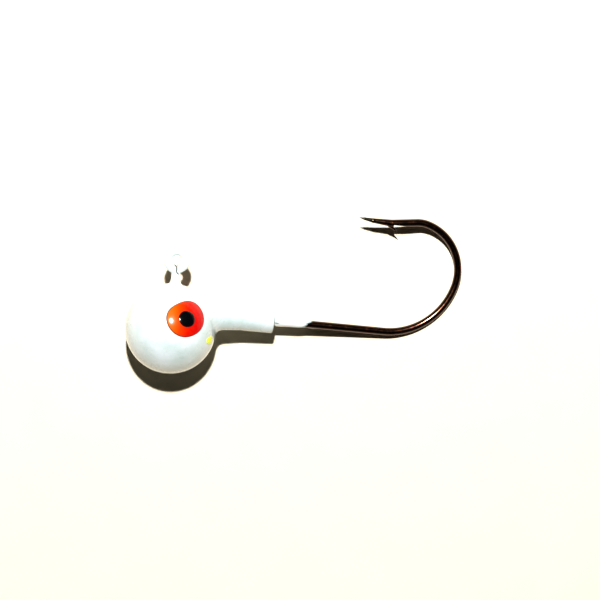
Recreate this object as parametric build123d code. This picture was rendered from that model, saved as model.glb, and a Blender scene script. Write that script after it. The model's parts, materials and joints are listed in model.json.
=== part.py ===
from build123d import *
import os
from math import acos, cos, degrees, radians, sin, sqrt

# Ball jig head on a 90 degree Aberdeen jig hook, in millimetres.
#
# Everything is first drawn in the hook's own frame: the origin is the centre of the ball, +X runs
# along the shank towards the bend, +Y points at the line-tie ring, and the hook lies in the XY plane.
# lie_down() then turns the whole jig on to its cheek, the way it rests on a table.

# Hook: one piece of round wire
WIRE_DIA = 0.88
SHANK_RISE = 2.03            # shank axis above the ball's centre
LEG_BEND_RADIUS = 1.20       # the bend inside the ball
LEG_LEAN = 1.6               # how far the leg leans towards the nose, in degrees
RING_RISE = 8.01             # centre of the line-tie ring above the ball's centre
RING_RADIUS = 1.06           # to the middle of the wire
RING_NECK_RADIUS = 0.75      # the small reverse bend that centres the ring over the leg
RING_END_ANGLE = 70.0        # where the ring's cut end meets the leg, below the horizontal
BEND_START = 24.96           # end of the straight shank
BEND_RADII = (8.05, 5.77, 3.34)
BEND_TURNS = (74.0, 90.7, 22.4)
SPEAR_LENGTH = 2.98          # straight wire from the bend to the base of the point

# Point and barb
POINT_SHOULDER = (21.48, 14.92)
POINT_SHOULDER_RADIUS = 0.19
POINT_TIP = (20.46, 15.02)
POINT_TIP_RADIUS = 0.03
BARB_NOTCH = (24.59, 14.55)  # deepest corner of the cut that lifts the barb
BARB_TIP = (25.33, 13.63)
BARB_TIP_RADIUS = 0.02
BARB_ROOT_LENGTH = 0.84
BARB_WIDTH = 0.46
BARB_CUT_LENGTH = 1.95       # the cut runs out of the wire this far behind the point's base

# Casting: sizes over the paint
BALL_DIA = 10.50
COLLAR_DIA = 3.30
COLLAR_RISE = 2.22           # collar axis above the ball's centre
COLLAR_END = 11.75
COLLAR_EDGE_RADIUS = 0.10
ROOT_START = 2.50            # the collar's root tapers from here, inside the ball,
ROOT_END = 8.00              # to here, where the plain collar begins
ROOT_FLARE = 0.50
ROOT_FILLET = 0.60
FILM = 0.12                  # paint over lead

# Paint that runs on along the wire
LEG_FILM = 0.08              # on the leg and the ring
FOOT_RADIUS = 0.85           # the cone of paint where the leg leaves the ball, widest in the ball's skin
FOOT_TOP = 5.65
SHANK_FILM = 0.08
SHANK_PAINT_LENGTH = 4.50
SHANK_FEATHER = 1.40         # the last stretch, where the film thins out
FEATHER_FILM = 0.02
MENISCUS = 0.30              # ring of paint in the corner between collar and shank

# Eyes and fleck, as directions from the ball's centre
IRIS_DIRECTION = (0.228, 0.377, 0.898)
IRIS_RADIUS = 2.15
IRIS_REACH = 2.46            # the iris is drawn out to a blunt point towards the nose
IRIS_POINT_RADIUS = 1.20
IRIS_FILM = 0.05
PUPIL_DIRECTION = (0.221, 0.364, 0.905)
PUPIL_RADIUS = 0.97
PUPIL_FILM = 0.10
FLECK_DIRECTION = (0.813, -0.103, 0.572)
FLECK_LENGTH = 1.24
FLECK_WIDTH = 0.92
FLECK_FILM = 0.03

# How the jig lies: the direction, in the hook plane, from the ball to where the bend touches
REST_AZIMUTH = -34.0

WIRE_RADIUS = WIRE_DIA / 2
BALL_RADIUS = BALL_DIA / 2
COLLAR_RADIUS = COLLAR_DIA / 2
OVERRUN = 0.5                # how far tools run past the surfaces they cut
NEAR = 0.001                 # points closer to a surface than this lie on it


# Routes of the wire

def ring_route():
    """From the shank's front end through the bend inside the ball, up the leg and round the ring."""
    bend = JernArc((LEG_BEND_RADIUS, SHANK_RISE), (-1, 0), LEG_BEND_RADIUS, LEG_LEAN - 90)
    to_ring_centre = (RING_RISE - (bend @ 1).Y) / (bend % 1).Y
    leg_length = to_ring_centre - sqrt(RING_RADIUS**2 + 2 * RING_RADIUS * RING_NECK_RADIUS)
    neck_turn = degrees(acos(RING_NECK_RADIUS / (RING_NECK_RADIUS + RING_RADIUS)))
    leg = Line(bend @ 1, bend @ 1 + (bend % 1) * leg_length)
    neck = JernArc(leg @ 1, leg % 1, RING_NECK_RADIUS, neck_turn)
    ring = JernArc(neck @ 1, neck % 1, RING_RADIUS, -(180 + neck_turn + RING_END_ANGLE))
    return [bend, leg, neck, ring]


def shank_route():
    """The straight shank, the three arcs of the bend and the straight spear."""
    route = [Line((LEG_BEND_RADIUS, SHANK_RISE), (BEND_START, SHANK_RISE))]
    for radius, turn in zip(BEND_RADII, BEND_TURNS):
        route.append(JernArc(route[-1] @ 1, route[-1] % 1, radius, turn))
    spear_start = route[-1] @ 1
    route.append(Line(spear_start, spear_start + (route[-1] % 1) * SPEAR_LENGTH))
    return route


def rod(route, radius):
    """Round bars of one radius along the lines and arcs of a route, joined into one solid."""
    bars = [sweep(Plane(edge @ 0, z_dir=edge % 0) * Circle(radius), path=edge) for edge in route]
    return Part() + bars


def wire():
    """The formed wire, before its end is cut to a point."""
    return rod(ring_route(), WIRE_RADIUS) + rod(shank_route(), WIRE_RADIUS)


# Hook

def point():
    """The ground point: the wire runs out to a tip that is kicked up, away from the shank."""
    spear = shank_route()[-1]
    shoulder = Vector(*POINT_SHOULDER)
    tip = Vector(*POINT_TIP)
    base = Plane(spear @ 1, z_dir=spear % 1) * Circle(WIRE_RADIUS)
    middle = Plane(shoulder, z_dir=tip - spear @ 1) * Circle(POINT_SHOULDER_RADIUS)
    end = Plane(tip, z_dir=tip - shoulder) * Circle(POINT_TIP_RADIUS)
    return loft([base, middle, end], ruled=True)


def barb():
    """The barb: a thorn lifted out of the wire's inner side, its back edge at the notch."""
    forward = shank_route()[-1] % 1
    tip = Vector(*BARB_TIP)
    centre = Vector(*BARB_NOTCH) + forward * (BARB_ROOT_LENGTH / 2)
    root = Plane(centre, x_dir=forward, z_dir=inward(forward))
    end = Plane(tip, x_dir=forward, z_dir=tip - centre)
    return loft([root * Ellipse(BARB_ROOT_LENGTH / 2, BARB_WIDTH / 2), end * Circle(BARB_TIP_RADIUS)])


def inward(forward):
    """The direction from the spear towards the shank, square to the wire."""
    return Vector(-forward.Y, forward.X)


def barb_cut():
    """The wedge that the barb's cut takes out of the wire behind the notch."""
    spear = shank_route()[-1]
    side = inward(spear % 1)
    notch = Vector(*BARB_NOTCH)
    runout = spear @ 1 - (spear % 1) * BARB_CUT_LENGTH + side * WIRE_RADIUS
    wedge = Polyline(notch, runout, runout + side * WIRE_DIA, notch + side * WIRE_DIA, close=True)
    return extrude(make_face(wedge), amount=WIRE_DIA, both=True)


def hook():
    return wire() + point() - barb_cut() + barb()


# Casting and its paint

def leaves_ball(edge, ball_radius):
    """Whether an edge is the corner between the collar's root and the ball."""
    places = [edge @ 0, edge @ 0.5]
    on_ball = all(abs(place.length - ball_radius) < NEAR and place.X > 0 for place in places)
    return on_ball and edge.geom_type != GeomType.CIRCLE


def casting(inset):
    """Ball and collar, with every outer face moved in by inset."""
    radius = COLLAR_RADIUS - inset
    end = COLLAR_END - inset
    edge = COLLAR_EDGE_RADIUS - inset / 2
    profile = Polyline(
        (ROOT_START, COLLAR_RISE),
        (ROOT_START, COLLAR_RISE + radius + ROOT_FLARE),
        (ROOT_END, COLLAR_RISE + radius),
        (end - edge, COLLAR_RISE + radius),
    )
    corner = JernArc(profile @ 1, (1, 0), edge, -90)
    back = Polyline(corner @ 1, (end, COLLAR_RISE), (ROOT_START, COLLAR_RISE))
    collar = revolve(make_face([profile, corner, back]), Axis((0, COLLAR_RISE, 0), (1, 0, 0)))
    body = Sphere(BALL_RADIUS - inset) + collar
    junction = [edge for edge in body.edges() if leaves_ball(edge, BALL_RADIUS - inset)]
    return fillet(junction, ROOT_FILLET + inset)


def lead_body():
    return casting(FILM) - wire()


def head_paint():
    """The white film over the casting, open only where the wire comes out."""
    return casting(0) - casting(FILM) - wire()


def line_tie_paint():
    """The film on leg and ring, with a cone of thicker paint at the leg's foot."""
    route = ring_route()
    cut_end = route[-1] @ 1
    route.append(Line(cut_end, cut_end + (route[-1] % 1) * LEG_FILM))
    film_radius = WIRE_RADIUS + LEG_FILM
    foot_profile = Polyline(
        (0, BALL_RADIUS - OVERRUN),
        (FOOT_RADIUS, BALL_RADIUS - OVERRUN),
        (film_radius, FOOT_TOP),
        (0, FOOT_TOP),
        close=True,
    )
    foot = revolve(make_face(foot_profile), Axis.Y)
    return rod(route, film_radius) + foot - Sphere(BALL_RADIUS) - wire()


def shank_paint():
    """The film on the shank behind the collar, from a meniscus to a feathered end."""
    end = COLLAR_END + SHANK_PAINT_LENGTH
    film = SHANK_RISE + WIRE_RADIUS + SHANK_FILM
    bare = SHANK_RISE + WIRE_RADIUS
    corner = RadiusArc((COLLAR_END, film + MENISCUS), (COLLAR_END + MENISCUS, film), MENISCUS)
    outline = Polyline(
        corner @ 1,
        (end - SHANK_FEATHER, film),
        (end, bare + FEATHER_FILM),
        (end, bare),
        (COLLAR_END, bare),
        corner @ 0,
    )
    return revolve(make_face([corner, outline]), Axis((0, SHANK_RISE, 0), (1, 0, 0)))


# Eyes and fleck: dabs of paint on the ball

def dab(outline, direction, floor, film):
    """A dab as thick as film, over the radius floor, with its outline seen along direction."""
    nose_side = Vector(-1, 0, 0)
    out = Vector(direction)
    plane = Plane((0, 0, 0), x_dir=nose_side - out * nose_side.dot(out), z_dir=out)
    stamp = extrude(plane * outline, amount=BALL_DIA)
    return stamp & (Sphere(floor + film) - Sphere(floor))


def mirrored(shape):
    """The same shape on the other cheek."""
    return mirror(shape, about=Plane.XY)


def iris():
    tip = IRIS_REACH - IRIS_POINT_RADIUS
    rounds = [CenterArc((0, 0), IRIS_RADIUS, 0, 360), CenterArc((tip, 0), IRIS_POINT_RADIUS, 0, 360)]
    return dab(make_hull(rounds), IRIS_DIRECTION, BALL_RADIUS, IRIS_FILM)


def pupil():
    return dab(Circle(PUPIL_RADIUS), PUPIL_DIRECTION, BALL_RADIUS + IRIS_FILM, PUPIL_FILM)


def paint_fleck():
    outline = Ellipse(FLECK_LENGTH / 2, FLECK_WIDTH / 2)
    return dab(outline, FLECK_DIRECTION, BALL_RADIUS, FLECK_FILM)


# The whole jig, laid on its cheek

def rest_frame():
    """The table's frame in the hook's: X along the shank, Z up, the origin at the ball's foot."""
    touch = Vector(cos(radians(REST_AZIMUTH)), sin(radians(REST_AZIMUTH)))
    bend_centre = Vector(BEND_START, SHANK_RISE + BEND_RADII[0])
    lean = (BALL_RADIUS - WIRE_RADIUS) / (bend_centre.dot(touch) + BEND_RADII[0])
    up = Vector(-lean * touch.X, -lean * touch.Y, sqrt(1 - lean**2))
    shank = Vector(1, 0, 0)
    return Plane(up * -BALL_RADIUS, x_dir=shank - up * shank.dot(up), z_dir=up)


def lie_down(shapes):
    """Every shape in the table's frame, with the origin under the middle of the whole jig."""
    turned = {name: rest_frame().location.inverse() * shape for name, shape in shapes.items()}
    box = Compound(list(turned.values())).bounding_box()
    middle = Pos(-box.center().X, -box.center().Y, -box.min.Z)
    return {name: middle * shape for name, shape in turned.items()}


def main():
    nodes = {
        "hook": hook(),
        "lead_body": lead_body(),
        "head_paint": head_paint(),
        "line_tie_paint": line_tie_paint(),
        "shank_paint": shank_paint(),
        "iris_left": iris(),
        "iris_right": mirrored(iris()),
        "pupil_left": pupil(),
        "pupil_right": mirrored(pupil()),
        "paint_fleck": paint_fleck(),
    }
    os.makedirs("parts", exist_ok=True)
    for name, shape in lie_down(nodes).items():
        export_step(shape, f"parts/{name}.step")


main()
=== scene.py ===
import json
import math

import bpy
import numpy as np
from mathutils import Matrix, Vector


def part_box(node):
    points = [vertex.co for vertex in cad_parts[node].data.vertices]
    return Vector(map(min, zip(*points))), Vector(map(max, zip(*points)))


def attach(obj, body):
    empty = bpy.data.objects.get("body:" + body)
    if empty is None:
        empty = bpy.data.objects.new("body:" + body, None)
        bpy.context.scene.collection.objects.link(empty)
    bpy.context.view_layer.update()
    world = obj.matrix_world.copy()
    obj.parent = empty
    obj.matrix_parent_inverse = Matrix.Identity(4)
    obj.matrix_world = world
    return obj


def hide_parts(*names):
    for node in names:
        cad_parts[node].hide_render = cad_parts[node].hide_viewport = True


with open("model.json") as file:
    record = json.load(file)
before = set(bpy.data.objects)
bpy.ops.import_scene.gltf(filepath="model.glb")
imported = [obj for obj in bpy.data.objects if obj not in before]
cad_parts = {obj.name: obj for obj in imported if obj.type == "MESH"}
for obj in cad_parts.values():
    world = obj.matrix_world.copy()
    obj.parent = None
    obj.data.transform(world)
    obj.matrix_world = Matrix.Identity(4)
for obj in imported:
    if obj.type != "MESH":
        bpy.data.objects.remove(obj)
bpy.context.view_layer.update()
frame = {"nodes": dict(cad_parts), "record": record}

# Looks of the ball jig head. The CAD fixes where everything is; here each visible piece is made again as
# a fine, closed mesh with its own material. Shapes are worked out in millimetres in the hook's own frame,
# which comes from the record's mounts and the ball's box: origin at the ball's centre, X along the shank
# towards the bend, Y towards the line tie and Z out of the hook's plane. in_row() takes points from there
# to the row frame.

MM = 0.001

# Hook: one piece of round wire
WIRE_RADIUS = 0.435
SHANK_RISE = 2.03            # the shank's middle, from the ball's centre towards the line tie
LEG_BEND_RADIUS = 1.20
LEG_LEAN = math.radians(1.6)  # towards the nose
RING_RISE = 8.01             # the ring's centre, from the ball's
RING_RADIUS = 1.06
RING_NECK_RADIUS = 0.75      # of the small reverse bend between leg and ring
RING_END_ANGLE = math.radians(70.0)  # how far the ring's end turns on past pointing back along the leg
BEND_START = 24.96
BEND_RADII = (8.05, 5.77, 3.34)
BEND_TURNS = [math.radians(turn) for turn in (74.0, 90.7, 22.4)]
SPEAR_LENGTH = 2.98

# Point and barb, as (distance past the spear's end, offset towards the shank, radius)
POINT_BASE = (0.0, 0.0, WIRE_RADIUS)
POINT_FLANK = (2.20, -0.36, 0.27)
POINT_SHOULDER = (3.25, -0.615, 0.15)
POINT_TIP = (3.87, -0.77, 0.018)
BARB_ROOT = (0.28, 0.24, 0.25)
BARB_WAIST = (-0.25, 0.68, 0.11)
BARB_TIP = (-0.76, 1.18, 0.012)
NOTCH = (-0.15, 0.19)        # the deepest place of the cut behind the barb
CUT_RUNOUT = 1.90            # the cut has run out this far before the spear's end
CUT_EDGE = 0.04              # how much the cut's edges are rounded
POINT_BLEND = 0.05           # how much the tapers of point and barb run into each other
BARB_BLEND = 0.08            # and the barb into the wire
GROUND_STRETCH = (1.0, 2.6)  # over this stretch the lacquer gives way to the point's ground steel

# Casting and paint: sizes over the paint
BALL_RADIUS = 5.25
COLLAR_RADIUS = 1.65
COLLAR_RISE = 2.22
COLLAR_END = 11.75
COLLAR_EDGE = 0.10
ROOT_START = 2.50            # the collar starts here, inside the ball,
ROOT_END = 8.00              # is plain from here on,
ROOT_FLARE = 0.50            # and has this much more radius at its start
ROOT_BLEND = 0.90            # the fillet between ball and collar
FILM = 0.08                  # on the wire
THINNEST_FILM = 0.002
RIPPLE = 0.012               # how uneven the dipped paint is
TIE_RIPPLE_RATE = 1.6        # how much closer together its waves are on the line tie than on the head
SEAM = 0.03                  # a fillet runs out this far under the skin of the piece beside it,
TUCK = 0.25                  # and the paint itself ends this far inside that piece, out of sight
RING_FILLET = 0.20
FOOT_FILLET = 0.25
BALL_FILLET = 0.35
SHANK_FILLET = 0.30
FOOT_RADIUS = 0.80           # the leg's foot is a cone of paint between these two heights
FOOT_START = 4.75
FOOT_TOP = 5.60
FOOT_REACH = 1.5             # the foot's paint inside the ball is no wider than this
CREASE_FORK = (0.02, -0.78)  # the crease between the ring's cut end and the leg, from the ring's centre
CREASE_ENDS = ((-0.27, -0.56), (0.25, -0.50), (0.05, -1.38))
CREASE_TAIL = (0.31, -1.62)
CREASE_HALF_WIDTHS = (0.075, 0.045)
SHANK_PAINT_LENGTH = 4.15
SHANK_PAINT_SLANT = 0.50     # the painted length is this much more on the line-tie side
SHANK_PAINT_RAGS = ((3, 0.10, 0.6), (7, 0.06, 2.0), (13, 0.03, 0.0))  # (crests round the wire, size, start)
SHANK_FEATHER = 1.00
SHANK_FADE = 0.30            # the part of the feather that lies past the paint's end
SHANK_REACH = 0.90           # the shank's paint inside the collar is no wider than this
PAINTED_ROOT_SHADE = (12.18, 1.86, 0.50)       # painted shade: a short dark patch in the shank's paint just behind the collar, where shade falls in the corner
PAINTED_ROOT_SHADE_SIZE = (0.38, 0.09, 0.30)
PAINTED_ROOT_SHADE_CORE = 0.4       # the part of its size that is darkest

# Eyes and fleck, as directions from the ball's centre, with the nose's side as the outline's first axis
IRIS_DIRECTION = (0.228, 0.377, 0.898)
IRIS_RADIUS = 2.21
IRIS_WAVES = ((1, 0.035, -1.16), (2, 0.155, 1.14), (3, 0.050, 0.0), (4, 0.029, -0.95))
IRIS_FILM = 0.05
PUPIL_DIRECTION = (0.221, 0.364, 0.905)
PUPIL_RADIUS = 0.97
PUPIL_WAVES = ((2, 0.020, -0.4), (5, 0.012, 0.0))
PUPIL_FILM = 0.10
PUPIL_FLATNESS = 2             # a dome, where the other dabs are nearly flat
DAB_FLATNESS = 6
FLECK_DIRECTION = (0.813, -0.103, 0.572)
FLECK_RADIUS = 0.56
FLECK_WAVES = ((2, 0.09, 0.0), (3, 0.04, -1.0))
FLECK_FILM = 0.03
DAB_ROOT = 0.10              # how far a dab's underside lies inside what it is painted on

# Fineness of the meshes
COARSE_STEP = 0.14           # the grid for the ball and the collar
FINE_STEP = 0.05             # the grid for what is as thin as the wire
ARC_STEP = 0.12              # slices along the hook's bends,
STRAIGHT_STEP = 0.30         # its straight runs
POINT_STEP = 0.035           # and its point
GRID_MARGIN = 0.2
HOOK_GRID_EDGE = 0.525       # the hook's grid reaches at least this far from the wire's middle
LINE_TIE_LOW = (-1.95, 4.5, -1.7)    # the line tie's grid, from this corner
LINE_TIE_HIGH = (1.70, 9.8, 1.7)     # to this one
NECK_PLACES = 10             # along the small reverse bend
PROBE = 0.002                # the step over which slopes are measured
SPOKES = 120                 # how many times dabs and card are divided round their middles
DAB_ROWS = 28                # from a dab's middle to its rim
SWEEP_STEPS = 24             # along the card's upward sweep

# Photography
CAMERA_HEIGHT = 300.0
SENSOR_WIDTH = 36.0
VIEW_HALF_WIDTH = 34.61      # half of what the picture shows, at the height of the ball's centre
VIEW_CENTRE = (14.94, 3.29)  # picture's centre from the ball's centre, right and up in the picture
VIEW_ROLL = math.radians(5.55)
LAMP_PLACE = (-4.0, 107.0)   # the lamp, right and up from the picture's centre
LAMP_HEIGHT = 320.0
LAMP_RADIUS = 7.0
LAMP_IRRADIANCE = 7.3        # on what faces the lamp, in watts per square metre
LAMP_COLOUR = (1.0, 0.99, 0.97)
ROOM_COLOUR = (1.0, 0.55, 0.20)
ROOM_STRENGTH = 0.004
CARD_MIDDLE = 0.01           # the card's many-sided middle face
SWEEP_START = 400.0          # the card is flat out to here,
SWEEP_RADIUS = 120.0         # then sweeps up with this radius
GAMMA = 0.85                 # the picture's contrast is a little harder than plain


# The hook's frame

def mount(name):
    return next(m for m in frame["record"]["mounts"] if m["name"] == name)


def hook_frame():
    """The hook's frame in the row frame, from the collar's and the line tie's axes and the ball's box."""
    x = Vector(mount("bait_collar")["axis"]).normalized()
    z = Vector(mount("line_tie")["axis"]).normalized()
    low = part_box("head_paint")[0]
    ball = Vector(low) + Vector((1, 1, 1)) * BALL_RADIUS * MM
    turn = Matrix((x, z.cross(x), z)).transposed().to_4x4()
    return Matrix.Translation(ball) @ turn


HOOK_FRAME = hook_frame()


def in_row(points):
    """Points in millimetres in the hook's frame, as metres in the row frame."""
    turn = np.array(HOOK_FRAME.to_3x3())
    return points @ turn.T * MM + np.array(HOOK_FRAME.translation)


# Skins: closed meshes where a field of signed distances is zero

QUAD = ((0, 0), (1, 0), (1, 1), (0, 1))
SETTLING_ROUNDS = 5
LEAST_STEEPNESS = 0.05


def slope(field, points):
    """The field's gradient, by differences."""
    steps = np.eye(3) * PROBE
    return np.stack([field(points + step) - field(points - step) for step in steps], -1) / (2 * PROBE)


def settle(field, points):
    """Points pulled along the field's slope on to its zero surface."""
    for _ in range(SETTLING_ROUNDS):
        gradient = slope(field, points)
        steepness = np.maximum((gradient**2).sum(-1), LEAST_STEEPNESS)
        points = points - gradient * (field(points) / steepness)[..., None]
    return points


def crossings(inside, axis):
    """The grid edges along one axis that the surface crosses, as quads of the four cells round each."""
    shape = np.array(inside.shape) - 1
    second, third = (axis + 1) % 3, (axis + 2) % 3
    turned = np.moveaxis(inside, (axis, second, third), (0, 1, 2))
    near, far = turned[:-1, 1:-1, 1:-1], turned[1:, 1:-1, 1:-1]
    for crossed, corners in ((near & ~far, QUAD), (far & ~near, QUAD[::-1])):
        found = np.nonzero(crossed)
        for_each_corner = []
        for step_second, step_third in corners:
            cell = [None] * 3
            cell[axis], cell[second], cell[third] = found[0], found[1] + step_second, found[2] + step_third
            for_each_corner.append(np.ravel_multi_index(cell, shape))
        yield np.stack(for_each_corner, 1)


def skin(field, axes, place=lambda grid: grid):
    """Points and quads of the surface, with one point in each grid cell that the surface crosses."""
    nodes = place(np.stack(np.meshgrid(*axes, indexing="ij"), -1))
    inside = field(nodes) < 0
    quads = np.concatenate([quad for axis in range(3) for quad in crossings(inside, axis)])
    cells, quads = np.unique(quads, return_inverse=True)
    index = np.array(np.unravel_index(cells, np.array(inside.shape) - 1))
    corners = [nodes[tuple(index + np.array(step)[:, None])] for step in np.ndindex(2, 2, 2)]
    return settle(field, np.mean(corners, 0)), quads.reshape(-1, 4).tolist()


def even_axes(low, high, step):
    return [np.arange(a, b + step, step) for a, b in zip(low, high)]


def band_faces(rows):
    """Quads between rows of SPOKES points each, all the way round."""
    faces = []
    for row in range(rows - 1):
        for spoke in range(SPOKES):
            here, following = row * SPOKES + spoke, row * SPOKES + (spoke + 1) % SPOKES
            faces.append((here, here + SPOKES, following + SPOKES, following))
    return faces


def solid(name, points, faces, node, slot):
    """A smooth piece made of points in the hook's frame, which stands for one CAD node."""
    mesh = bpy.data.meshes.new(name)
    mesh.from_pydata(in_row(points).tolist(), [], faces)
    mesh.shade_smooth()
    piece = bpy.data.objects.new(name, mesh)
    bpy.context.collection.objects.link(piece)
    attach(piece, "root")
    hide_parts(node)
    return piece


def note(piece, name, values):
    """Keeps one number per vertex, for the material to read."""
    piece.data.attributes.new(name, "FLOAT", "POINT").data.foreach_set("value", values.astype(np.float32))


# Fields

def join(a, b, width):
    """The union of two fields, with a fillet about as wide as width in the corner between them."""
    reach = np.maximum(width - abs(a - b), 0) / width
    return np.minimum(a, b) - reach**2 * width / 4


def overlap(a, b, width):
    """What two fields share, with a rounded edge."""
    return -join(-a, -b, width)


def from_axis(points, rise=0.0):
    """Distance from the line along X at this rise above the ball's centre."""
    return np.hypot(points[..., 1] - rise, points[..., 2])


def ball_field(points, radius=BALL_RADIUS):
    return np.linalg.norm(points, axis=-1) - radius


def cone(points, start, end):
    """A bar between two stations, each a place in the plane and a radius."""
    a, b = np.array((*start[:2], 0.0)), np.array((*end[:2], 0.0))
    span = b - a
    part = np.clip((points - a) @ span / (span @ span), 0, 1)
    axis = a + part[..., None] * span
    return np.linalg.norm(points - axis, axis=-1) - (start[2] + part * (end[2] - start[2]))


def ripple(points, amount):
    """A slow unevenness between 0 and amount, made of a few crossing waves."""
    waves = (
        ((0.9, 0.5, -0.3), 1.9, 0.3),
        ((-0.4, 0.8, 0.6), 2.7, 1.1),
        ((0.3, -0.7, 0.9), 3.8, 2.9),
        ((0.7, 0.6, 0.8), 5.3, 4.2),
    )
    total = sum(np.sin(points @ np.array(way) * rate + start) for way, rate, start in waves)
    return amount * (0.5 + total / (2 * len(waves)))


# Route of the wire

def neck_turn():
    """How far the small reverse bend turns, so that the ring's centre is in line with the leg."""
    return math.acos(RING_NECK_RADIUS / (RING_NECK_RADIUS + RING_RADIUS))


def ring_runs():
    """(length, turn) of each run from the shank's front end to the ring's cut end."""
    foot_rise = SHANK_RISE + LEG_BEND_RADIUS * (1 - math.sin(LEG_LEAN))
    to_centre = (RING_RISE - foot_rise) / math.cos(LEG_LEAN)
    leg = to_centre - math.sqrt(RING_RADIUS**2 + 2 * RING_RADIUS * RING_NECK_RADIUS)
    bend_turn = math.pi / 2 - LEG_LEAN
    ring_turn = math.pi + neck_turn() + RING_END_ANGLE
    return [
        (LEG_BEND_RADIUS * bend_turn, -bend_turn),
        (leg, 0.0),
        (RING_NECK_RADIUS * neck_turn(), neck_turn()),
        (RING_RADIUS * ring_turn, -ring_turn),
    ]


def hook_runs():
    """(length, turn) of each run from the ring's cut end to the end of the spear."""
    runs = [(length, -turn) for length, turn in reversed(ring_runs())]
    runs.append((BEND_START - LEG_BEND_RADIUS, 0.0))
    runs += [(radius * turn, turn) for radius, turn in zip(BEND_RADII, BEND_TURNS)]
    runs.append((SPEAR_LENGTH, 0.0))
    return runs


def along_arc(start, heading, rate, distances):
    """Places and headings at these distances along an arc that turns by rate in each millimetre."""
    turned = heading + rate * distances
    middle = (heading + turned) / 2
    chord = distances * np.sinc(rate * distances / 2 / math.pi)
    return start + np.stack([np.cos(middle), np.sin(middle)], -1) * chord[:, None], turned


def follow(runs, start, heading, distances):
    """Places and headings at these distances along runs, whose first and last go on past their ends."""
    places = np.empty((len(distances), 2))
    headings = np.empty(len(distances))
    here, gone = np.array(start, float), 0.0
    for number, (length, turn) in enumerate(runs):
        first, last = number == 0, number == len(runs) - 1
        chosen = (first | (distances >= gone)) & (last | (distances <= gone + length))
        rate = turn / length
        places[chosen], headings[chosen] = along_arc(here, heading, rate, distances[chosen] - gone)
        ends, turned = along_arc(here, heading, rate, np.array([length]))
        here, heading, gone = ends[0], turned[0], gone + length
    return places, headings


def ring_end():
    """The ring's cut end, and the heading from there back along the wire."""
    runs = ring_runs()
    total = np.array([sum(length for length, _ in runs)])
    places, headings = follow(runs, (LEG_BEND_RADIUS, SHANK_RISE), math.pi, total)
    return places[0], headings[0] + math.pi


RING_END, RING_END_HEADING = ring_end()
RING_CENTRE = RING_END + RING_RADIUS * np.array((-math.sin(RING_END_HEADING), math.cos(RING_END_HEADING)))
HOOK_RUNS = hook_runs()
HOOK_LENGTH = sum(length for length, _ in HOOK_RUNS)


# Hook

def hook_field(points):
    """The hook as a straight bar: X is the distance past the spear's end, Y the side of the shank."""
    x, y = points[..., 0], points[..., 1]
    wire = np.maximum(from_axis(points) - WIRE_RADIUS, x - POINT_BASE[0])
    wire = np.maximum(wire, -HOOK_LENGTH - x)
    body = np.minimum(wire, cone(points, POINT_BASE, POINT_FLANK))
    body = join(body, cone(points, POINT_FLANK, POINT_SHOULDER), POINT_BLEND)
    body = join(body, cone(points, POINT_SHOULDER, POINT_TIP), POINT_BLEND)
    cut_floor = NOTCH[1] + (NOTCH[0] - x) * (WIRE_RADIUS - NOTCH[1]) / (CUT_RUNOUT + NOTCH[0])
    cut = np.maximum(cut_floor - y, x - NOTCH[0])
    barb = join(cone(points, BARB_ROOT, BARB_WAIST), cone(points, BARB_WAIST, BARB_TIP), POINT_BLEND)
    return join(overlap(body, -cut, CUT_EDGE), barb, BARB_BLEND)


def hook_stations():
    """Distances past the spear's end where the hook is sliced: closest together at bends and the point."""
    marks = [-HOOK_LENGTH - GRID_MARGIN]
    for number, (length, turn) in enumerate(HOOK_RUNS[:-1]):
        step = ARC_STEP if turn else STRAIGHT_STEP
        end = -HOOK_LENGTH + sum(run for run, _ in HOOK_RUNS[: number + 1])
        begin = end - length
        marks += list(np.linspace(begin, end, max(2, round(length / step)), endpoint=False))
    marks += list(np.arange(-SPEAR_LENGTH, POINT_TIP[0] + GRID_MARGIN / 2, POINT_STEP))
    return np.array(marks)


# Where the grid narrows, as (distance past the spear's end, its middle's offset, how wide it still is)
POINT_WINDOW = ((0.5, -0.11, 1.0), (*POINT_SHOULDER[:2], 0.42), (*POINT_TIP[:2], 0.10))


def hook_window(grid):
    """Narrows the grid round the point as it tapers, so that the tip is as finely divided as the wire."""
    x = grid[..., 0]
    stations, middles, widths = zip(*POINT_WINDOW)
    middle = np.interp(x, stations, middles) * (x > POINT_BASE[0])
    width = np.interp(x, stations, widths)
    narrowed = grid.copy()
    narrowed[..., 1] = grid[..., 1] * width + middle
    narrowed[..., 2] = grid[..., 2] * width
    return narrowed


def bent(points):
    """The straight bar's points, bent along the hook's route."""
    places, headings = follow(HOOK_RUNS, RING_END, RING_END_HEADING, points[:, 0] + HOOK_LENGTH)
    side = np.stack([-np.sin(headings), np.cos(headings)], -1)
    return np.column_stack([places + side * points[:, 1:2], points[:, 2]])


def make_hook():
    inward = np.arange(-HOOK_GRID_EDGE, BARB_TIP[1] + 2 * FINE_STEP, FINE_STEP)
    across = np.arange(-HOOK_GRID_EDGE, HOOK_GRID_EDGE + FINE_STEP / 2, FINE_STEP)
    points, faces = skin(hook_field, [hook_stations(), inward, across], hook_window)
    piece = solid("hook_wire", bent(points), faces, "hook", "bronzed_wire")
    note(piece, "along", points[:, 0])
    return piece


# White paint

def collar_field(points):
    x = points[..., 0]
    flare = ROOT_FLARE * np.clip((ROOT_END - x) / (ROOT_END - ROOT_START), 0, 1)
    out = from_axis(points, COLLAR_RISE) - (COLLAR_RADIUS + flare - COLLAR_EDGE)
    back = x - (COLLAR_END - COLLAR_EDGE)
    corner = np.hypot(np.maximum(out, 0), np.maximum(back, 0)) + np.minimum(np.maximum(out, back), 0)
    return np.maximum(corner - COLLAR_EDGE, ROOT_START - x)


def head_field(points):
    return join(ball_field(points), collar_field(points), ROOT_BLEND) + ripple(points, RIPPLE)


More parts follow.
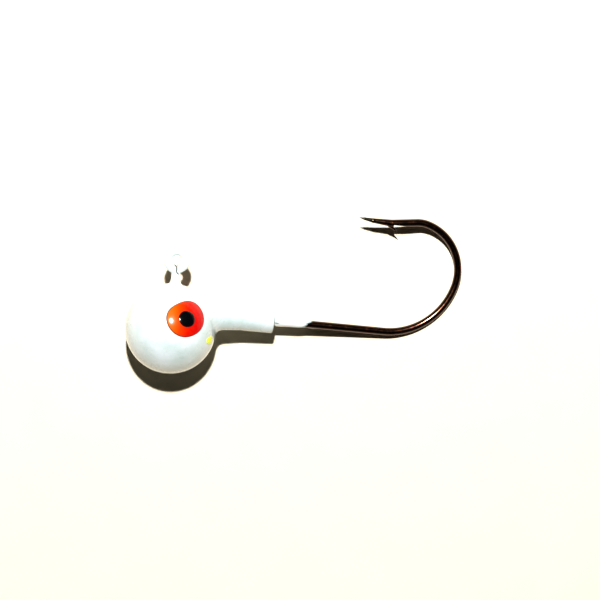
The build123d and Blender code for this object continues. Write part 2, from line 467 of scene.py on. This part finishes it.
def make_head_paint():
    edge = BALL_RADIUS + GRID_MARGIN
    axes = even_axes((-edge, -edge, -edge), (COLLAR_END + GRID_MARGIN, edge, edge), COARSE_STEP)
    return solid("head_skin", *skin(head_field, axes), "head_paint", "white_paint")


def tube(points, places, radius):
    """A round bar of one radius through a row of places."""
    spans = [cone(points, (*start, radius), (*end, radius)) for start, end in zip(places, places[1:])]
    return np.minimum.reduce(spans)


def leg_places():
    """Places along the wire from inside the ball, up the leg and through the small reverse bend."""
    runs = ring_runs()
    leg_start, bend_start = runs[0][0], runs[0][0] + runs[1][0]
    along = np.append(leg_start, np.linspace(bend_start, bend_start + runs[2][0], NECK_PLACES))
    return follow(runs, (LEG_BEND_RADIUS, SHANK_RISE), math.pi, along)[0]


def crease_field(points):
    """The forked slit where the ring's cut end was closed against the leg."""
    centre = np.array((*RING_CENTRE, 0.0))
    flat = (points - centre) * np.array((1, 1, 0))
    wide, narrow = CREASE_HALF_WIDTHS
    slits = [cone(flat, (*CREASE_FORK, wide), (*end, narrow)) for end in CREASE_ENDS]
    slits.append(cone(flat, (*CREASE_ENDS[-1], narrow), (*CREASE_TAIL, narrow)))
    return np.minimum.reduce(slits)


def foot_field(points):
    """The cone of paint where the leg leaves the ball."""
    out = np.hypot(points[..., 0], points[..., 2])
    radius = np.interp(points[..., 1], (FOOT_START, FOOT_TOP), (FOOT_RADIUS, WIRE_RADIUS + FILM))
    return np.maximum(out - radius, points[..., 1] - FOOT_TOP)


def line_tie_field(points):
    x, y = points[..., 0] - RING_CENTRE[0], points[..., 1] - RING_CENTRE[1]
    painted = WIRE_RADIUS + FILM
    ring = np.hypot(np.hypot(x, y) - RING_RADIUS, points[..., 2]) - painted
    tie = join(ring, tube(points, leg_places(), painted), RING_FILLET)
    tie = np.maximum(tie, -crease_field(points))
    tie = join(tie, foot_field(points), FOOT_FILLET)
    tie = join(tie, ball_field(points, BALL_RADIUS - SEAM), BALL_FILLET)
    out = np.hypot(points[..., 0], points[..., 2])
    hidden = np.maximum(-ball_field(points, BALL_RADIUS - TUCK), out - FOOT_REACH)
    tie = np.maximum(tie, np.where(points[..., 1] < FOOT_TOP, hidden, -1.0))
    return tie + ripple(points * TIE_RIPPLE_RATE, RIPPLE)


def make_line_tie_paint():
    points, faces = skin(line_tie_field, even_axes(LINE_TIE_LOW, LINE_TIE_HIGH, FINE_STEP))
    return solid("line_tie_skin", points, faces, "line_tie_paint", "white_paint")


def paint_end(points):
    """Where the shank's paint ends: a slanted, ragged line round the wire."""
    y, z = points[..., 1] - SHANK_RISE, points[..., 2]
    turn = np.arctan2(z, y)
    ragged = sum(size * np.sin(number * turn + start) for number, size, start in SHANK_PAINT_RAGS)
    return COLLAR_END + SHANK_PAINT_LENGTH + SHANK_PAINT_SLANT * np.cos(turn) + ragged


def shank_film(points):
    """How thick the paint is along the shank."""
    left = np.clip((paint_end(points) - points[..., 0]) / SHANK_FEATHER, -SHANK_FADE, 1)
    return FILM * (left * (2 - left)) + THINNEST_FILM


def shank_paint_field(points):
    x = points[..., 0]
    rod = from_axis(points, SHANK_RISE) - WIRE_RADIUS - shank_film(points)
    corner = join(rod, x - (COLLAR_END - SEAM), SHANK_FILLET)
    ends = np.maximum(COLLAR_END - TUCK - x, from_axis(points, SHANK_RISE) - SHANK_REACH)
    tail = x - (paint_end(points) + SHANK_FADE * SHANK_FEATHER)
    return np.maximum(corner, np.maximum(ends, tail))


def make_shank_paint():
    side = SHANK_REACH + 2 * FINE_STEP
    end = COLLAR_END + SHANK_PAINT_LENGTH + SHANK_FEATHER + 2 * FINE_STEP
    low = (COLLAR_END - TUCK - FINE_STEP, SHANK_RISE - side, -side)
    points, faces = skin(shank_paint_field, even_axes(low, (end, SHANK_RISE + side, side), FINE_STEP))
    piece = solid("shank_skin", points, faces, "shank_paint", "white_paint")
    # The paint's cover, taken down towards nothing in a painted shade where the shank meets the collar's end
    from_root = np.linalg.norm((points - np.array(PAINTED_ROOT_SHADE)) / np.array(PAINTED_ROOT_SHADE_SIZE), axis=-1)
    outside_painted_shade = np.clip(from_root - PAINTED_ROOT_SHADE_CORE, 0, 1)
    note(piece, "cover_and_shade", np.clip(shank_film(points) / FILM, 0, 1) * outside_painted_shade)
    return piece


# Eyes and fleck: dabs of paint on the ball

def outline(radius, waves, turn):
    """The radius at each turn from the nose's side. Each wave has a number of crests, a size and a start."""
    return radius + sum(size * np.cos(number * turn - crest) for number, size, crest in waves)


def dab_axes(direction):
    """A dab's own axes, as rows: towards the nose, to the side and away from the ball."""
    up = np.array(direction) / np.linalg.norm(direction)
    nose = np.array((-1.0, 0.0, 0.0))
    nose -= up * (nose @ up)
    nose /= np.linalg.norm(nose)
    return np.stack([nose, np.cross(up, nose), up])


def dab_faces(rows):
    """A dab's faces: bands between its rows of points, and a fan round each pole, which come last."""
    top, bottom = rows * SPOKES, rows * SPOKES + 1
    faces = band_faces(rows)
    for spoke in range(SPOKES):
        following = (spoke + 1) % SPOKES
        faces.append((top, spoke, following))
        faces.append((bottom, top - SPOKES + following, top - SPOKES + spoke))
    return faces


def dab(name, radius, waves, direction, floor, film, node, slot, mirrored=False, flatness=DAB_FLATNESS):
    """A low drop of paint about a direction from the ball's centre."""
    turn = np.linspace(0, 2 * math.pi, SPOKES, endpoint=False)
    part = np.sin(np.linspace(0, math.pi / 2, DAB_ROWS + 1))[1:]
    parts = np.concatenate([part, part[::-1]])
    top = floor + film * (1 - part**flatness) ** 0.5
    heights = np.concatenate([top, np.full(DAB_ROWS, floor - DAB_ROOT)])
    reach = parts[:, None] * outline(radius, waves, turn)[None, :]
    u, v = reach * np.cos(turn), reach * np.sin(turn)
    w = np.sqrt(heights[:, None] ** 2 - u**2 - v**2)
    poles = np.array([(0, 0, floor + film), (0, 0, floor - DAB_ROOT)])
    local = np.concatenate([np.stack([u, v, w], -1).reshape(-1, 3), poles])
    points = local @ dab_axes(direction)
    faces = dab_faces(len(parts))
    if mirrored:
        points = points * np.array((1, 1, -1))
        faces = [face[::-1] for face in faces]
    piece = solid(name, points, faces, node, slot)
    note(piece, "toward_nose", local[:, 0])
    note(piece, "rim", np.append(np.repeat(parts, SPOKES), (0, 0)))
    return piece


# Materials

def material(name, base, roughness, **inputs):
    """A new material and its Principled shader."""
    made = bpy.data.materials.new(name)
    made.use_nodes = True
    shader = made.node_tree.nodes["Principled BSDF"]
    shader.inputs["Base Color"].default_value = (*base, 1)
    shader.inputs["Roughness"].default_value = roughness
    for socket, value in inputs.items():
        shader.inputs[socket.replace("_", " ")].default_value = value
    return made, shader


def add(made, kind, **settings):
    """A new node of this kind in the material."""
    node = made.node_tree.nodes.new(kind)
    for name, value in settings.items():
        setattr(node, name, value)
    return node


def link(made, source, target):
    made.node_tree.links.new(source, target)


def noise(made, size, detail=3.0, stretch=(1, 1, 1)):
    """Noise whose features are about size millimetres wide, from 0 to 1."""
    place = add(made, "ShaderNodeTexCoord")
    mapping = add(made, "ShaderNodeMapping")
    mapping.inputs["Scale"].default_value = [1 / (size * MM * way) for way in stretch]
    texture = add(made, "ShaderNodeTexNoise")
    texture.inputs["Scale"].default_value = 1.0
    texture.inputs["Detail"].default_value = detail
    link(made, place.outputs["Object"], mapping.inputs["Vector"])
    link(made, mapping.outputs["Vector"], texture.inputs["Vector"])
    return texture.outputs["Fac"]


def attribute(made, name):
    return add(made, "ShaderNodeAttribute", attribute_name=name).outputs["Fac"]


def scaled(made, value, low, high, to_low=0.0, to_high=1.0):
    """value's stretch from low to high, taken to another stretch and held there."""
    node = add(made, "ShaderNodeMapRange")
    for socket, number in zip(("From Min", "From Max", "To Min", "To Max"), (low, high, to_low, to_high)):
        node.inputs[socket].default_value = number
    link(made, value, node.inputs["Value"])
    return node.outputs["Result"]


def ramp(made, value, *stops):
    """Colours at places from 0 to 1."""
    node = add(made, "ShaderNodeValToRGB")
    while len(node.color_ramp.elements) < len(stops):
        node.color_ramp.elements.new(1.0)
    for element, (place, colour) in zip(node.color_ramp.elements, stops):
        element.position = place
        element.color = (*colour, 1)
    link(made, value, node.inputs["Fac"])
    return node.outputs["Color"]


def mix(made, amount, first, second):
    """Two colours, each a value or another node's output, mixed by this amount of the second."""
    node = add(made, "ShaderNodeMix", data_type="RGBA")
    for socket, value in (("Factor", amount), ("A", first), ("B", second)):
        target = next(s for s in node.inputs if s.name == socket and s.enabled)
        if hasattr(value, "links"):
            link(made, value, target)
        else:
            target.default_value = value if socket == "Factor" else (*value, 1)
    return next(s for s in node.outputs if s.enabled)


def bump(made, shader, height, distance, strength, under=None):
    """Fine relief of this distance in millimetres, on top of another one where under is given."""
    node = add(made, "ShaderNodeBump")
    node.inputs["Distance"].default_value = distance * MM
    node.inputs["Strength"].default_value = strength
    link(made, height, node.inputs["Height"])
    if under:
        link(made, under.outputs["Normal"], node.inputs["Normal"])
    link(made, node.outputs["Normal"], shader.inputs["Normal"])
    return node


def white_paint(name, level):
    """Glossy dipped white: nearly smooth, a little mottled, with fine orange peel."""
    made, shader = material(name, (0.58, 0.64, 0.66), 0.3, Coat_Weight=1.0, Coat_Roughness=0.05)
    cloud = noise(made, 2.2, 4)
    grey = [level * part for part in (0.46, 0.545, 0.54)]
    white = [level * part for part in (0.60, 0.665, 0.69)]
    colour = ramp(made, cloud, (0.26, grey), (0.68, white))
    link(made, colour, shader.inputs["Base Color"])
    link(made, scaled(made, noise(made, 0.8), 0.3, 0.7, 0.22, 0.38), shader.inputs["Roughness"])
    peel = bump(made, shader, noise(made, 0.55, 2), 0.03, 0.35)
    bump(made, shader, noise(made, 0.12, 2), 0.004, 0.5, peel)
    return made


def thin_white_paint():
    """The white where it runs out along the shank: cooler and greyer as the dark wire shows through, and
    darkened by a painted shade in the corner behind the collar.
    """
    made, shader = material("thin_white_paint", (0.68, 0.72, 0.74), 0.3, Coat_Weight=1.0,
                            Coat_Roughness=0.05)
    cover_and_shade = attribute(made, "cover_and_shade")
    streaks = noise(made, 0.25, 3, (3, 1, 1))
    uneven = add(made, "ShaderNodeMath", operation="MULTIPLY_ADD")
    link(made, streaks, uneven.inputs[0])
    uneven.inputs[1].default_value = 0.35
    link(made, cover_and_shade, uneven.inputs[2])
    colour = ramp(
        made,
        scaled(made, uneven.outputs[0], 0.15, 1.1),
        (0.0, (0.05, 0.06, 0.06)),
        (0.35, (0.30, 0.38, 0.38)),
        (0.8, (0.68, 0.73, 0.75)),
    )
    link(made, colour, shader.inputs["Base Color"])
    bump(made, shader, noise(made, 0.3, 2), 0.03, 0.4)
    return made


def bronzed_wire():
    """Dark brown lacquer over drawn wire: almost black, with worn reddish patches, and a ground point."""
    made, shader = material("bronzed_wire", (0.05, 0.02, 0.012), 0.22, Metallic=1.0, Coat_Weight=0.5,
                            Coat_Roughness=0.18)
    worn = scaled(made, noise(made, 1.4, 5), 0.60, 0.74)
    lacquer = mix(made, worn, (0.060, 0.024, 0.011), (0.18, 0.026, 0.016))
    ground = scaled(made, attribute(made, "along"), *GROUND_STRETCH)
    link(made, scaled(made, ground, 0, 1, 0.5, 0.03), shader.inputs["Coat Weight"])
    link(made, mix(made, ground, lacquer, (0.030, 0.028, 0.019)), shader.inputs["Base Color"])
    link(made, scaled(made, noise(made, 0.5, 4), 0.3, 0.7, 0.14, 0.30), shader.inputs["Roughness"])
    scratches = bump(made, shader, noise(made, 0.06, 3, (14, 1, 1)), 0.006, 0.5)
    bump(made, shader, noise(made, 0.35, 3), 0.02, 0.35, scratches)
    return made


def iris_paint():
    """Fluorescent red, a little mottled, turning orange towards the nose and crimson at the far rim; the
    orange is painted highlight, a glow laid where the lamp's highlight falls.
    """
    made, shader = material("iris_paint", (0.5, 0.02, 0.01), 0.25, Coat_Weight=1.0, Coat_Roughness=0.13)
    shader.inputs["Specular IOR Level"].default_value = 0.05
    across = scaled(made, attribute(made, "toward_nose"), -IRIS_RADIUS, IRIS_RADIUS)
    # painted highlight: the colour runs lighter and orange towards the nose, round the lamp's highlight
    colour = ramp(
        made,
        across,
        (0.0, (0.42, 0.001, 0.006)),
        (0.45, (0.48, 0.006, 0.001)),
        (0.68, (0.52, 0.042, 0.001)),
        (0.82, (0.50, 0.090, 0.001)),
        (1.0, (0.48, 0.14, 0.015)),
    )
    mottled = mix(made, scaled(made, noise(made, 0.35, 4), 0.4, 0.75, 0, 0.15), colour, (0.52, 0.045, 0.002))
    edge = scaled(made, attribute(made, "rim"), 0.94, 1.0)
    link(made, mix(made, edge, mottled, (0.10, 0.012, 0.012)), shader.inputs["Base Color"])
    link(made, scaled(made, noise(made, 0.4), 0.3, 0.7, 0.16, 0.30), shader.inputs["Roughness"])
    bump(made, shader, noise(made, 0.30, 3), 0.03, 0.4)
    return made


def pupil_paint():
    """Glossy black, with a breath of dark red where it thins at the rim."""
    made, shader = material("pupil_paint", (0.002, 0.002, 0.002), 0.2, Coat_Weight=0.8, Coat_Roughness=0.12)
    shader.inputs["Specular IOR Level"].default_value = 0.15
    edge = scaled(made, attribute(made, "rim"), 0.86, 1.0)
    link(made, mix(made, edge, (0.002, 0.002, 0.003), (0.04, 0.003, 0.003)), shader.inputs["Base Color"])
    link(made, scaled(made, noise(made, 0.3), 0.3, 0.7, 0.10, 0.22), shader.inputs["Roughness"])
    bump(made, shader, noise(made, 0.22, 3), 0.02, 0.4)
    return made


def fleck_paint():
    made, shader = material("fleck_paint", (0.8, 0.85, 0.1), 0.25, Coat_Weight=0.4, Coat_Roughness=0.1)
    colour = ramp(made, noise(made, 0.3), (0.35, (0.58, 0.74, 0.01)), (0.65, (0.88, 0.84, 0.03)))
    link(made, colour, shader.inputs["Base Color"])
    bump(made, shader, noise(made, 0.2, 3), 0.01, 0.5)
    return made


def cast_lead():
    made, shader = material("cast_lead", (0.3, 0.31, 0.33), 0.55, Metallic=1.0)
    colour = ramp(made, noise(made, 1.0, 5), (0.3, (0.20, 0.21, 0.23)), (0.7, (0.38, 0.39, 0.41)))
    link(made, colour, shader.inputs["Base Color"])
    bump(made, shader, noise(made, 0.4, 5), 0.05, 0.6)
    return made


def paint_all(made, *pieces):
    for piece in pieces:
        piece.data.materials.clear()
        piece.data.materials.append(made)


# Stage

def floor_material():
    """Matt white card, so faintly mottled that it reads as plain."""
    made, shader = material("white_card", (0.62, 0.56, 0.455), 0.75)
    colour = ramp(made, noise(made, 6.0, 3), (0.3, (0.615, 0.555, 0.45)), (0.7, (0.625, 0.565, 0.46)))
    link(made, colour, shader.inputs["Base Color"])
    return made


def make_floor():
    """A round sheet of card whose rim sweeps up, so that the low views end on card too."""
    angles = np.linspace(0, math.pi / 2, SWEEP_STEPS)
    reach = np.append(CARD_MIDDLE, SWEEP_START + SWEEP_RADIUS * np.sin(angles))
    rise = np.append(0.0, SWEEP_RADIUS * (1 - np.cos(angles)))
    turn = np.linspace(0, 2 * math.pi, SPOKES, endpoint=False)
    across, along = np.outer(reach, np.cos(turn)), np.outer(reach, np.sin(turn))
    points = np.stack([across, along, np.broadcast_to(rise[:, None], across.shape)], -1).reshape(-1, 3) * MM
    faces = [list(range(SPOKES)), *band_faces(len(reach))]
    mesh = bpy.data.meshes.new("floor")
    mesh.from_pydata(points.tolist(), [], faces)
    mesh.shade_smooth()
    floor = bpy.data.objects.new("floor", mesh)
    bpy.context.collection.objects.link(floor)
    mesh.materials.append(floor_material())


def picture_up():
    return Vector((-math.sin(VIEW_ROLL), math.cos(VIEW_ROLL), 0))


def picture_place(right, up, height):
    """A place over the picture's centre, moved right and up in the picture, in millimetres."""
    across = Vector((math.cos(VIEW_ROLL), math.sin(VIEW_ROLL), 0))
    shift = across * (VIEW_CENTRE[0] + right) + picture_up() * (VIEW_CENTRE[1] + up)
    place = HOOK_FRAME.translation + shift * MM
    return (place.x, place.y, height * MM)


def make_lights():
    """One small lamp beyond the picture's top, and a faint warm room."""
    light = bpy.data.lights.new("key", "POINT")
    distance = math.hypot(LAMP_PLACE[1], LAMP_HEIGHT) * MM
    light.energy = LAMP_IRRADIANCE * 4 * math.pi * distance**2
    light.shadow_soft_size = LAMP_RADIUS * MM
    light.color = LAMP_COLOUR
    lamp = bpy.data.objects.new("key", light)
    lamp.location = picture_place(*LAMP_PLACE, LAMP_HEIGHT)
    bpy.context.collection.objects.link(lamp)
    world = bpy.data.worlds.new("studio")
    world.use_nodes = True
    background = world.node_tree.nodes["Background"]
    background.inputs["Color"].default_value = (*ROOM_COLOUR, 1)
    background.inputs["Strength"].default_value = ROOM_STRENGTH
    bpy.context.scene.world = world


def make_camera():
    camera = bpy.data.cameras.new("camera")
    distance = CAMERA_HEIGHT - BALL_RADIUS
    camera.sensor_width = SENSOR_WIDTH
    camera.lens = SENSOR_WIDTH / 2 * distance / VIEW_HALF_WIDTH
    camera.clip_start = 0.01
    camera.clip_end = 10.0
    holder = bpy.data.objects.new("camera", camera)
    holder.location = picture_place(0, 0, CAMERA_HEIGHT)
    holder.rotation_euler = (0, 0, VIEW_ROLL)
    bpy.context.collection.objects.link(holder)
    bpy.context.scene.camera = holder


def set_contrast():
    view = bpy.context.scene.view_settings
    view.view_transform = "Standard"
    view.gamma = GAMMA


# Making everything

make_floor()
make_lights()
make_camera()

paint_all(white_paint("white_paint", 1.0), make_head_paint())
# The line tie carries the head's white paint made 1.2 times lighter: painted light, a lit copy of the same
# paint
paint_all(white_paint("lit_copy_white_paint", 1.20), make_line_tie_paint())
paint_all(thin_white_paint(), make_shank_paint())
paint_all(bronzed_wire(), make_hook())
paint_all(cast_lead(), frame["nodes"]["lead_body"])

IRIS, PUPIL = iris_paint(), pupil_paint()
for side, mirrored in (("left", False), ("right", True)):
    paint_all(IRIS, dab(f"iris_dab_{side}", IRIS_RADIUS, IRIS_WAVES, IRIS_DIRECTION, BALL_RADIUS, IRIS_FILM,
                        f"iris_{side}", "red_paint", mirrored))
    paint_all(PUPIL, dab(f"pupil_dab_{side}", PUPIL_RADIUS, PUPIL_WAVES, PUPIL_DIRECTION,
                         BALL_RADIUS + IRIS_FILM, PUPIL_FILM, f"pupil_{side}", "black_paint",
                         mirrored, PUPIL_FLATNESS))
paint_all(fleck_paint(), dab("fleck_dab", FLECK_RADIUS, FLECK_WAVES, FLECK_DIRECTION, BALL_RADIUS,
                             FLECK_FILM, "paint_fleck", "yellow_paint"))

set_contrast()
